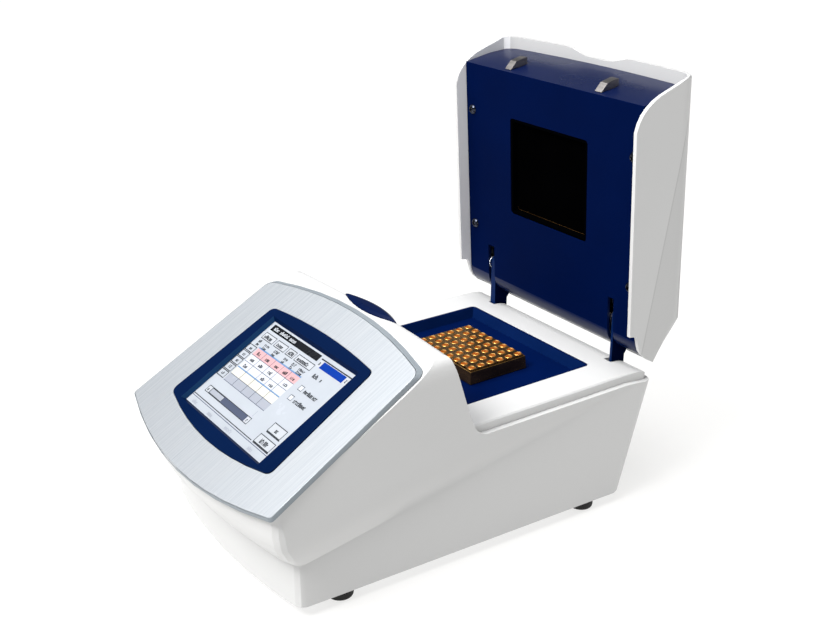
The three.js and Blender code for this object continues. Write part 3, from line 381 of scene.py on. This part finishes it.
def wing_crease(bm):
    """The outer faces of the wings fold slightly inward behind a slanted crease. A narrow strip along the
    crease is cut out to take painted shade.
    """
    for offset in (-CREASE_SHADE_HALF, CREASE_SHADE_HALF):
        edge = [v for v in bm.verts if abs(v.co.x) > WING_FACE]
        faces = set(f for v in edge for f in v.link_faces)
        geometry = list(faces) + list(set(e for f in faces for e in f.edges)) + list(
            set(v for f in faces for v in f.verts))
        bmesh.ops.bisect_plane(bm, geom=geometry, dist=1e-6, plane_co=CREASE + CREASE_OUT * offset,
                               plane_no=CREASE_OUT)
    for vert in bm.verts:
        behind = (vert.co - CREASE).dot(CREASE_OUT)
        if behind > CREASE_SHADE_HALF + 1e-6 and abs(vert.co.x) > WING_SIDE:
            vert.co.x -= math.copysign(min(FOLD_DEPTH, (behind - CREASE_SHADE_HALF) * FOLD_SLOPE), vert.co.x)


def cover_zone(centre, normal):
    """0 for most of the cover, then the crease strip's painted shade, the painted shade on the folded part
    behind it and the painted light on the left wing's inner face.
    """
    if abs(normal.x) < 0.7:
        return 0
    if centre.x * normal.x < 0:
        return 3 if centre.x < -WING_INNER else 0
    behind = (centre - CREASE).dot(CREASE_OUT)
    if abs(behind) < CREASE_SHADE_HALF:
        return 1
    return 2 if behind > 0 else 0


refined("main_housing", WHITE, 1.1, 4)
# The lid cover's other materials are painted shade along the crease and on the fold behind it, and painted
# light on the left wing's inner face.
refined("lid_cover", WHITE, 0.9, 3, wing_crease, angle=24, others=[CREASE_SHADE, WHITE_FOLD_SHADE, WHITE_INNER_LIT],
        zone=cover_zone)


def liner_zone(centre, normal):
    """Painted sheen: the liner takes a lighter, glossier navy below its lower rounding and on top of its free
    end.
    """
    depth, height = lid_place(centre)
    if height < 21:
        return 1
    return 1 if height > 198.3 and 11 < depth < 63 and normal.z > 0.5 else 0


refined("lid_liner", NAVY, 0.5, others=[NAVY_PAINTED_SHEEN], zone=liner_zone)
# The tray's sloping walls take the lighter navy of painted light.
refined("recess_tray", TRAY, 0.9, 4, others=[TRAY_WALL_LIT],
        zone=lambda centre, normal: 1 if 0.1 < normal.z < 0.9 else 0)
refined("fascia_panel", BRUSHED, 0.25, 2)
refined("panel_trim", TRIM, 0.3, 2, angle=30)
# The bezel's inner bevel faces that face +X take the lighter navy of a painted highlight.
refined("screen_bezel", BEZEL, 0.45, 3, angle=26, others=[BEZEL_HIGHLIGHT],
        zone=lambda centre, normal: 1 if normal.x > 0.2 and abs(centre.x) < 0.0665 else 0)
# The carrier's upward faces take the lighter bronze of a painted highlight.
refined("block_frame", CARRIER, 0.35, others=[RIM_HIGHLIGHT],
        zone=lambda centre, normal: 1 if normal.z > 0.35 else 0)
refined("heater_frame", COLLAR, 0.3)
for hand in ("left", "right"):
    # Arm faces that face +X take the painted shade; the other faces take the lighter navy of painted light.
    refined("hinge_arm_" + hand, NAVY_ARM_LIT, 0.35, others=[NAVY_PAINTED_SHADE],
            zone=lambda centre, normal: 1 if normal.x > 0.6 else 0)
    refined("stop_pin_" + hand, STEEL, 0.5)
    refined("lid_hook_" + hand, HOOK, 0.3, 2)
    refined("catch_leaf_" + hand, SPRING, 0.12, 2)
    refined("hinge_bracket_" + hand, SHEET, 0.25, 2)
refined("hinge_shaft", STEEL, 0.5)
refined("latch_slide", STEEL, 0.3, 2)
for foot in ("front_left", "front_right", "rear_left", "rear_right"):
    refined("foot_" + foot, RUBBER, 0.5)
refined("base_plate", SHEET, 0.3, 2)
refined("rear_panel", BLACK, 0.3, 2)
refined("power_inlet", BLACK, 0.35, 2)
refined("fuse_drawer", BLACK, 0.35, 2)
refined("power_switch", BLACK, 0.4, 3, angle=30)
refined("switch_housing", BLACK, 0.25, 2)
refined("data_port", STEEL, 0.2, 2)

for node, material in {
    "heat_sink": CAST, "fan_frame": BLACK, "fan_rotor": BLACK, "thermal_module_left": CERAMIC,
    "thermal_module_right": CERAMIC, "lcd_module": SHEET, "controller_board": BOARD, "power_supply": SHEET,
    "heater_backing": SHEET,
}.items():
    mesh = frame["nodes"][node].data
    mesh.materials.clear()
    mesh.materials.append(material)


def spring(node):
    """A coil copied from the CAD node, riding on its body, with a mesh of its own."""
    bm = clean_copy(node)
    obj = attach(from_bmesh(node + "_skin", bm, [SPRING]), node)
    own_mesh(obj)


spring("button_spring")
spring("latch_spring")
for number in range(1, 5):
    spring(f"plate_spring_{number}")


# ---------------------------------------------------------------- release button
def release_button():
    """A lens with a domed top that rolls over into its side, on the latch's stem."""
    _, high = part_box("release_button")
    half_length, half_width, top = 34.0, 6.6, high.z
    centre = Vector((0, high.y - half_width * MM, top))
    steps, rings = 48, 12
    bm = bmesh.new()

    def outline(shrink):
        length, width = half_length - 2.4 * shrink, half_width - shrink
        points = []
        for side in (-1, 1):
            for i in range(steps):
                t = i / steps
                x = side * length * (1 - 2 * t)
                y = side * width * 4 * t * (1 - t)
                points.append((x, y))
        return points

    rows = []
    levels = [(0.0, -11.4), (0.0, -2.4)]
    for k in range(1, rings + 1):
        shrink = 6.2 * (k / rings) ** 1.5
        rise = -2.0 + 2.0 * (1 - (1 - min(1.0, shrink / 4.2)) ** 2.0)
        levels.append((shrink, rise))
    for shrink, rise in levels:
        rows.append([bm.verts.new((centre.x + x * MM, centre.y + y * MM, top + rise * MM))
                     for x, y in outline(shrink)])
    count = len(rows[0])
    for a, b in zip(rows, rows[1:]):
        for i in range(count):
            j = (i + 1) % count
            bm.faces.new((a[i], a[j], b[j], b[i]))
    bm.faces.new(rows[-1])
    bm.faces.new(list(reversed(rows[0])))
    bmesh.ops.remove_doubles(bm, verts=bm.verts, dist=1e-6)
    stem = clean_copy("release_button")
    flat = [v for v in stem.verts if v.co.z > top - 11.2 * MM]
    bmesh.ops.delete(stem, geom=flat, context="VERTS")
    edges = [e for e in stem.edges if e.is_boundary]
    bmesh.ops.holes_fill(stem, edges=edges, sides=0)
    mesh = bpy.data.meshes.new("stem")
    stem.to_mesh(mesh)
    stem.free()
    bm.from_mesh(mesh)
    bpy.data.meshes.remove(mesh)
    obj = from_bmesh("release_button_skin", bm, [LENS])
    finish_mesh(obj, 0, sharp=50)
    return attach(obj, "release_button")


release_button()


# ---------------------------------------------------------------- sample block
def sample_block():
    """Forty-eight tapered cups, each with a rolled rim, in a bronze block."""
    low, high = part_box("sample_block")
    centre = (low + high) / 2
    half_x, half_y = (high.x - low.x) / 2 / MM, (high.y - low.y) / 2 / MM
    pitch, columns, rows, segments = 9.0, 8, 6, 32
    profile = [(3.3, 0.0), (3.2, 0.2), (3.02, 0.3), (2.75, 0.24), (2.55, 0.05), (2.48, -0.3), (2.25, -4.5),
               (1.9, -8.5), (1.45, -12.4), (1.1, -13.4), (0.6, -13.9), (0.0, -14.0)]
    rim_radius, rim_height = profile[0][0], 0.3
    bm = bmesh.new()
    verts = {}

    def vert(x, y, z):
        key = (round(x, 4), round(y, 4), round(z, 4))
        if key not in verts:
            verts[key] = bm.verts.new((centre.x + x * MM, centre.y + y * MM,
                                          high.z + (z - rim_height) * MM))
        return verts[key]

    for i in range(columns):
        for j in range(rows):
            cx, cy = (i - (columns - 1) / 2) * pitch, (j - (rows - 1) / 2) * pitch
            x0, x1 = max(cx - pitch / 2, -half_x), min(cx + pitch / 2, half_x)
            y0, y1 = max(cy - pitch / 2, -half_y), min(cy + pitch / 2, half_y)
            circle, square = [], []
            for k in range(segments):
                angle = 2 * math.pi * (k + 0.5) / segments
                c, s = math.cos(angle), math.sin(angle)
                circle.append((c, s))
                reach = min((x1 - cx) / c if c > 0 else (x0 - cx) / c,
                            (y1 - cy) / s if s > 0 else (y0 - cy) / s)
                square.append((cx + c * reach, cy + s * reach))
            corners = {segments // 8: (x1, y1), 3 * segments // 8: (x0, y1),
                       5 * segments // 8: (x0, y0), 7 * segments // 8: (x1, y0)}
            for k in range(segments):
                nxt = (k + 1) % segments
                inner = [vert(cx + rim_radius * circle[k][0], cy + rim_radius * circle[k][1], 0),
                         vert(cx + rim_radius * circle[nxt][0], cy + rim_radius * circle[nxt][1], 0)]
                outer = [vert(*square[nxt], 0), vert(*square[k], 0)]
                corner = corners.get(nxt)
                if corner:
                    outer.insert(1, vert(*corner, 0))
                bm.faces.new(inner + outer)
            for (r0, z0), (r1, z1) in zip(profile, profile[1:]):
                for k in range(segments):
                    nxt = (k + 1) % segments
                    (c0, s0), (c1, s1) = circle[k], circle[nxt]
                    a = vert(cx + r0 * c0, cy + r0 * s0, z0)
                    b = vert(cx + r0 * c1, cy + r0 * s1, z0)
                    if r1 == 0:
                        face = bm.faces.new((a, b, vert(cx, cy, z1)))
                    else:
                        face = bm.faces.new((a, b, vert(cx + r1 * c1, cy + r1 * s1, z1),
                                             vert(cx + r1 * c0, cy + r1 * s0, z1)))
                    # The rolled lips take the lighter bronze of a painted highlight; the cup below is gold.
                    face.material_index = 2 if z0 > 0.2 or z1 > 0.2 else 1
    rim = [e for e in bm.edges if e.is_boundary]
    extruded = bmesh.ops.extrude_edge_only(bm, edges=rim)
    lowered = [g for g in extruded["geom"] if isinstance(g, bmesh.types.BMVert)]
    for v in lowered:
        v.co.z = low.z
    bottom = [e for e in bm.edges if e.is_boundary]
    bmesh.ops.holes_fill(bm, edges=bottom, sides=0)
    obj = from_bmesh("sample_block_skin", bm, [BRONZE, GLOWING_CUPS, RIM_HIGHLIGHT])
    finish_mesh(obj, 0, sharp=35)
    return attach(obj, "sample_block")


sample_block()


# ---------------------------------------------------------------- heated plate
def rounded_rectangle(half_x, half_y, radius, steps=8):
    """The corner arcs' points, anticlockwise from the first quadrant."""
    points = []
    for cx, cy, start in ((1, 1, 0), (-1, 1, 90), (-1, -1, 180), (1, -1, 270)):
        for i in range(steps + 1):
            angle = math.radians(start + 90 * i / steps)
            points.append((cx * (half_x - radius) + radius * math.cos(angle),
                           cy * (half_y - radius) + radius * math.sin(angle)))
    return points


def heated_plate():
    """A black coated plate whose worn edge shows the bronze beneath."""
    half_x, half_s, middle_s = 42.1, 36.8, 123.1
    levels = [(0.6, 20.2, 1), (0.0, 19.6, 1), (0.0, 15.0, 1), (0.25, 14.45, 1), (0.9, 14.2, 1),
              (1.3, 14.2, 0), (3.0, 14.35, 0), (3.4, 14.35, 0)]
    bm = bmesh.new()
    rows = []
    for shrink, d, _ in levels:
        outline = rounded_rectangle(half_x - shrink, half_s - shrink, max(0.6, 3.0 - shrink))
        rows.append([bm.verts.new(on_lid(x, d, middle_s + s)) for x, s in outline])
    count = len(rows[0])
    for index, (a, b) in enumerate(zip(rows, rows[1:])):
        for i in range(count):
            j = (i + 1) % count
            low_edge = outline[i][1] < 4 - half_s
            worn = levels[index + 1][2] if low_edge else 0
            bm.faces.new((a[i], a[j], b[j], b[i])).material_index = worn
    bm.faces.new(rows[-1]).material_index = 0
    bm.faces.new(list(reversed(rows[0]))).material_index = 1
    obj = from_bmesh("heated_plate_skin", bm, [PLATE, COPPER])
    finish_mesh(obj, 0, sharp=35)
    return attach(obj, "heated_plate")


heated_plate()


# ---------------------------------------------------------------- screws of the lid's liner
def liner_screw(node, turn):
    """A pan head with a cross recess on its shank."""
    centre = middle(node)
    face = Vector((0, -math.cos(LEAN), -math.sin(LEAN)))
    across = Vector((1, 0, 0))
    up = across.cross(face)
    length = 9.0 * MM
    front = centre + face * length / 2
    bm = bmesh.new()
    rings, segments = 16, 64
    rows = []
    for k in range(rings + 1):
        r = 4.0 * k / rings
        dome = -2.0 * (r / 4.0) ** 3.2
        row = []
        for i in range(segments):
            angle = 2 * math.pi * i / segments
            x, y = r * math.cos(angle), r * math.sin(angle)
            u = abs(x * math.cos(turn) + y * math.sin(turn))
            w = abs(-x * math.sin(turn) + y * math.cos(turn))
            thin, wide = min(u, w), max(u, w)
            cut = 1.5 if thin < 0.48 and wide < 2.1 else 0.0
            row.append(bm.verts.new(front + across * x * MM + up * y * MM + face * (dome - cut) * MM))
        rows.append(row)
    shank = [(4.0, -2.2), (2.0, -2.3), (2.0, -8.6), (1.4, -9.0)]
    for r, depth in shank:
        rows.append([bm.verts.new(front + across * r * math.cos(2 * math.pi * i / segments) * MM
                                  + up * r * math.sin(2 * math.pi * i / segments) * MM + face * depth * MM)
                     for i in range(segments)])
    for a, b in zip(rows[1:], rows[2:]):
        for i in range(segments):
            j = (i + 1) % segments
            bm.faces.new((a[i], a[j], b[j], b[i]))
    for i in range(segments):
        bm.faces.new((rows[0][0], rows[1][i], rows[1][(i + 1) % segments]))
    bm.faces.new(rows[-1])
    bmesh.ops.delete(bm, geom=[v for v in bm.verts if not v.link_faces], context="VERTS")
    obj = from_bmesh(node + "_skin", bm, [SCREW])
    finish_mesh(obj, 0, sharp=38)
    return attach(obj, node)


for index, place in enumerate(("lower_left", "lower_right", "upper_left", "upper_right")):
    liner_screw("liner_screw_" + place, 0.3 + 0.55 * index)


# ---------------------------------------------------------------- touch screen
glass = middle("touch_glass")
SLOPE = Vector((0, math.cos(TILT), math.sin(TILT)))
OUT = Vector((0, -math.sin(TILT), math.cos(TILT)))


def on_panel(x, v, h):
    """A point in the panel's frame about the middle of the touch glass, in millimetres."""
    return glass + Vector((x, 0, 0)) * MM + SLOPE * v * MM + OUT * h * MM


def screen_paint(name, color, glow=0.05):
    """A screen colour, darkened for the studio's light, with a faint glow."""
    return surface(name, tuple(0.60 * c for c in color), 0.03, (0.20, 0.28), grain=2500, depth=0.000004,
                   strength=0.05, mottle=60, specular=0.12, glow=glow)


def touch_screen():
    """The lit page on the touch glass: a table of steps, tabs, check boxes and buttons, with no words."""
    colors = {
        "ground": (0.60, 0.64, 0.70), "dark": (0.012, 0.014, 0.018), "blue": (0.002, 0.045, 0.38),
        "pink": (0.83, 0.50, 0.52), "white": (0.80, 0.83, 0.90), "cream": (0.88, 0.86, 0.76),
        "grey": (0.47, 0.50, 0.57), "slate": (0.10, 0.12, 0.19), "line": (0.05, 0.055, 0.065),
        "text": (0.04, 0.045, 0.055), "button": (0.66, 0.69, 0.74), "ice": (0.20, 0.36, 0.62),
    }
    inks = list(colors)
    paints = [screen_paint("screen_" + ink, color) for ink, color in colors.items()]
    width, height, top = 115.2, 86.4, 0.57
    bm = bmesh.new()

    def quad(u0, v0, u1, v1, ink, level):
        """A flat patch: u runs across the page and v down it, from 0 to 1. Higher levels lie in front."""
        corners = ((u0, v1), (u1, v1), (u1, v0), (u0, v0))
        face = bm.faces.new([bm.verts.new(on_panel((u - 0.5) * width, (0.5 - v) * height, top + 0.02 * level))
                             for u, v in corners])
        face.material_index = inks.index(ink)

    def frame_line(u0, v0, u1, v1, level, thick=0.006, ink="line"):
        tall = thick * width / height
        quad(u0, v0, u1, v0 + tall, ink, level)
        quad(u0, v1 - tall, u1, v1, ink, level)
        quad(u0, v0, u0 + thick, v1, ink, level)
        quad(u1 - thick, v0, u1, v1, ink, level)

    def writing(u, v, letters, size=0.030, level=5, ink="text", step=0.0145):
        """Generic marks in place of letters."""
        size *= 1.15
        for _ in range(letters):
            tall = size * random.choice((0.68, 0.78, 1.0))
            quad(u, v + size - tall, u + step * 0.40, v + size, ink, level)
            if random.random() < 0.75:
                quad(u + step * 0.34, v + size - tall, u + step * 0.82, v + size - tall * 0.68, ink, level)
            if random.random() < 0.6:
                quad(u + step * 0.34, v + size - 0.26 * tall, u + step * 0.82, v + size, ink, level)
            if random.random() < 0.5:
                quad(u + step * 0.50, v + size - tall * 0.8, u + step * 0.84, v + size - 0.1 * tall, ink,
                     level)
            u += step

    quad(0.0, 0.0, 1.0, 1.0, "ground", 1)
    quad(0.03, 0.018, 0.62, 0.085, "dark", 2)
    writing(0.06, 0.034, 4, level=4, ink="button")
    writing(0.14, 0.034, 7, level=4, ink="button")
    writing(0.26, 0.034, 5, level=4, ink="button")
    quad(0.64, 0.035, 0.985, 0.047, "line", 2)
    quad(0.685, 0.052, 0.94, 0.120, "blue", 3)
    quad(0.645, 0.052, 0.685, 0.120, "button", 3)
    quad(0.94, 0.052, 0.985, 0.120, "button", 3)
    writing(0.655, 0.072, 1, 0.028, 5)
    writing(0.957, 0.072, 1, 0.028, 5)
    for u0, u1, letters in ((0.03, 0.17, 6), (0.19, 0.32, 5), (0.34, 0.43, 4), (0.45, 0.645, 9)):
        quad(u0, 0.115, u1, 0.188, "button", 2)
        frame_line(u0, 0.115, u1, 0.188, 3, 0.005)
        writing(u0 + 0.02, 0.135, letters, 0.034)
    for u, letters in ((0.045, 2), (0.125, 4), (0.245, 4), (0.375, 3), (0.475, 3), (0.56, 5)):
        writing(u, 0.203, letters, 0.026)
        writing(u + 0.004, 0.238, max(2, letters - 1), 0.026)
    left, right = 0.105, 0.64
    rows = ((0.275, 0.352, "pink"), (0.352, 0.430, "white"), (0.430, 0.510, "white"),
            (0.510, 0.590, "cream"), (0.590, 0.670, "grey"))
    columns = (left, 0.215, 0.335, 0.44, 0.535, right)
    for index, (v0, v1, ink) in enumerate(rows):
        quad(left, v0, right, v1, ink, 2)
        frame_line(0.0, v0 + 0.004, 0.092, v1, 3)
        writing(0.035, v0 + 0.025, 2, 0.026)
        for number, (u0, u1) in enumerate(zip(columns, columns[1:])):
            if index < 3 and (index, number) not in ((1, 3), (2, 4), (2, 1)):
                writing(u0 + 0.035, v0 + 0.024, 3, 0.030)
    for v in (0.352, 0.430, 0.510, 0.590, 0.670):
        quad(left, v - 0.003, right, v + 0.002, "slate", 4)
    for u in columns[1:-1]:
        quad(u - 0.002, 0.275, u + 0.002, 0.672, "slate", 4)
    quad(left, 0.262, right, 0.276, "ice", 4)
    quad(left, 0.500, right, 0.511, "ice", 5)
    quad(0.06, 0.775, 0.62, 0.845, "slate", 2)
    frame_line(0.06, 0.775, 0.62, 0.845, 4, 0.005)
    quad(0.06, 0.775, 0.105, 0.845, "button", 3)
    quad(0.575, 0.775, 0.62, 0.845, "button", 3)
    quad(0.108, 0.782, 0.27, 0.838, "grey", 3)
    frame_line(0.108, 0.782, 0.27, 0.838, 4, 0.004)
    writing(0.075, 0.795, 1, 0.03)
    writing(0.59, 0.795, 1, 0.03)
    writing(0.705, 0.175, 4, 0.036)
    writing(0.79, 0.175, 1, 0.036)
    for v, letters in ((0.315, 10), (0.425, 9)):
        quad(0.70, v, 0.742, v + 0.052, "white", 2)
        frame_line(0.70, v, 0.742, v + 0.052, 3, 0.004)
        writing(0.765, v + 0.010, letters, 0.036)
    for u0, v0, u1, v1, letters in ((0.80, 0.68, 0.95, 0.775, 2), (0.785, 0.815, 0.965, 0.905, 6)):
        quad(u0, v0, u1, v1, "button", 2)
        frame_line(u0, v0, u1, v1, 3, 0.0055)
        quad(u0 + 0.004, v1, u1 + 0.006, v1 + 0.010, "line", 2)
        middle_u = (u0 + u1) / 2 - letters * 0.0072
        writing(middle_u, v0 + 0.028, letters, 0.038)
    quad(0.0, 0.905, 0.77, 0.913, "line", 2)
    quad(0.60, 0.70, 0.605, 0.76, "grey", 2)
    quad(0.0, 0.925, 1.0, 0.931, "slate", 3)
    for u, letters in ((0.06, 4), (0.27, 4), (0.50, 6), (0.80, 4)):
        writing(u, 0.950, letters, 0.030, 4, "grey")

    slab = [(-60, -45.6, -0.55), (60, -45.6, -0.55), (60, 45.6, -0.55), (-60, 45.6, -0.55)]
    body = bmesh.new()
    corners = [body.verts.new(on_panel(*p)) for p in slab]
    body.faces.new(corners)
    raised = bmesh.ops.extrude_face_region(body, geom=list(body.faces))
    for v in raised["geom"]:
        if isinstance(v, bmesh.types.BMVert):
            v.co += OUT * 1.1 * MM
    bmesh.ops.recalc_face_normals(body, faces=body.faces)
    bmesh.ops.bevel(body, geom=list(body.edges), offset=0.2 * MM, segments=2, affect="EDGES", profile=0.5)
    mesh = bpy.data.meshes.new("slab")
    body.to_mesh(mesh)
    body.free()
    page = bpy.data.meshes.new("touch_screen")
    bm.to_mesh(page)
    bm.free()
    joined = bmesh.new()
    joined.from_mesh(mesh)
    joined.from_mesh(page)
    joined.to_mesh(page)
    joined.free()
    bpy.data.meshes.remove(mesh)
    obj = add_object("touch_screen", page, paints)
    return attach(obj, "touch_glass")


touch_screen()


# ---------------------------------------------------------------- floor, lights and camera
def pale_floor():
    """A wide floor under the object's feet."""
    bm = bmesh.new()
    bmesh.ops.create_grid(bm, x_segments=8, y_segments=8, size=30.0)
    floor = from_bmesh("floor", bm, [floor_material()])
    floor.location = (0, 0, cad_bounds[0].z)


def softbox(name, spot, target, size, power, color=(1, 1, 1)):
    """A rectangular area light at a spot, facing a target."""
    light = bpy.data.lights.new(name, "AREA")
    light.shape = "RECTANGLE"
    light.size, light.size_y = size
    light.energy = power
    light.color = color
    obj = bpy.data.objects.new(name, light)
    bpy.context.scene.collection.objects.link(obj)
    obj.location = spot
    obj.rotation_euler = (Vector(target) - Vector(spot)).to_track_quat("-Z", "Y").to_euler()
    return obj


def studio():
    """Soft daylight from above with two softboxes."""
    world = bpy.data.worlds.new("studio")
    bpy.context.scene.world = world
    world.use_nodes = True
    background = world.node_tree.nodes["Background"]
    background.inputs["Color"].default_value = (0.93, 0.96, 1.0, 1)
    background.inputs["Strength"].default_value = 0.22
    sun = bpy.data.lights.new("daylight", "SUN")
    sun.energy = 3.7
    sun.angle = math.radians(60)
    sky = bpy.data.objects.new("daylight", sun)
    bpy.context.scene.collection.objects.link(sky)
    sky.rotation_euler = Vector((0.12, 0.36, -0.92)).to_track_quat("-Z", "Y").to_euler()
    softbox("left", (-1.15, -0.35, 1.85), (0, -0.05, 0.15), (1.2, 1.0), 3.5, (0.95, 0.98, 1.0))
    front = softbox("front", (0.15, -1.0, 1.3), (0, 0.12, 0.22), (0.6, 0.6), 3.0)
    front.data.spread = math.radians(70)


def camera():
    """The camera at the place and lens that were fitted to the picture."""
    data = bpy.data.cameras.new("camera")
    data.sensor_width = 36.0
    data.lens = 51.12
    data.clip_start = 0.05
    azimuth, elevation = math.radians(55.264), math.radians(22.389)
    look = Vector((-math.sin(azimuth) * math.cos(elevation), math.cos(azimuth) * math.cos(elevation),
                   -math.sin(elevation)))
    obj = bpy.data.objects.new("camera", data)
    bpy.context.scene.collection.objects.link(obj)
    obj.location = (0.665307, -0.455044, 0.487225)
    obj.rotation_euler = look.to_track_quat("-Z", "Y").to_euler()
    bpy.context.scene.camera = obj


pale_floor()
studio()
camera()
bpy.context.scene.view_settings.view_transform = "Standard"
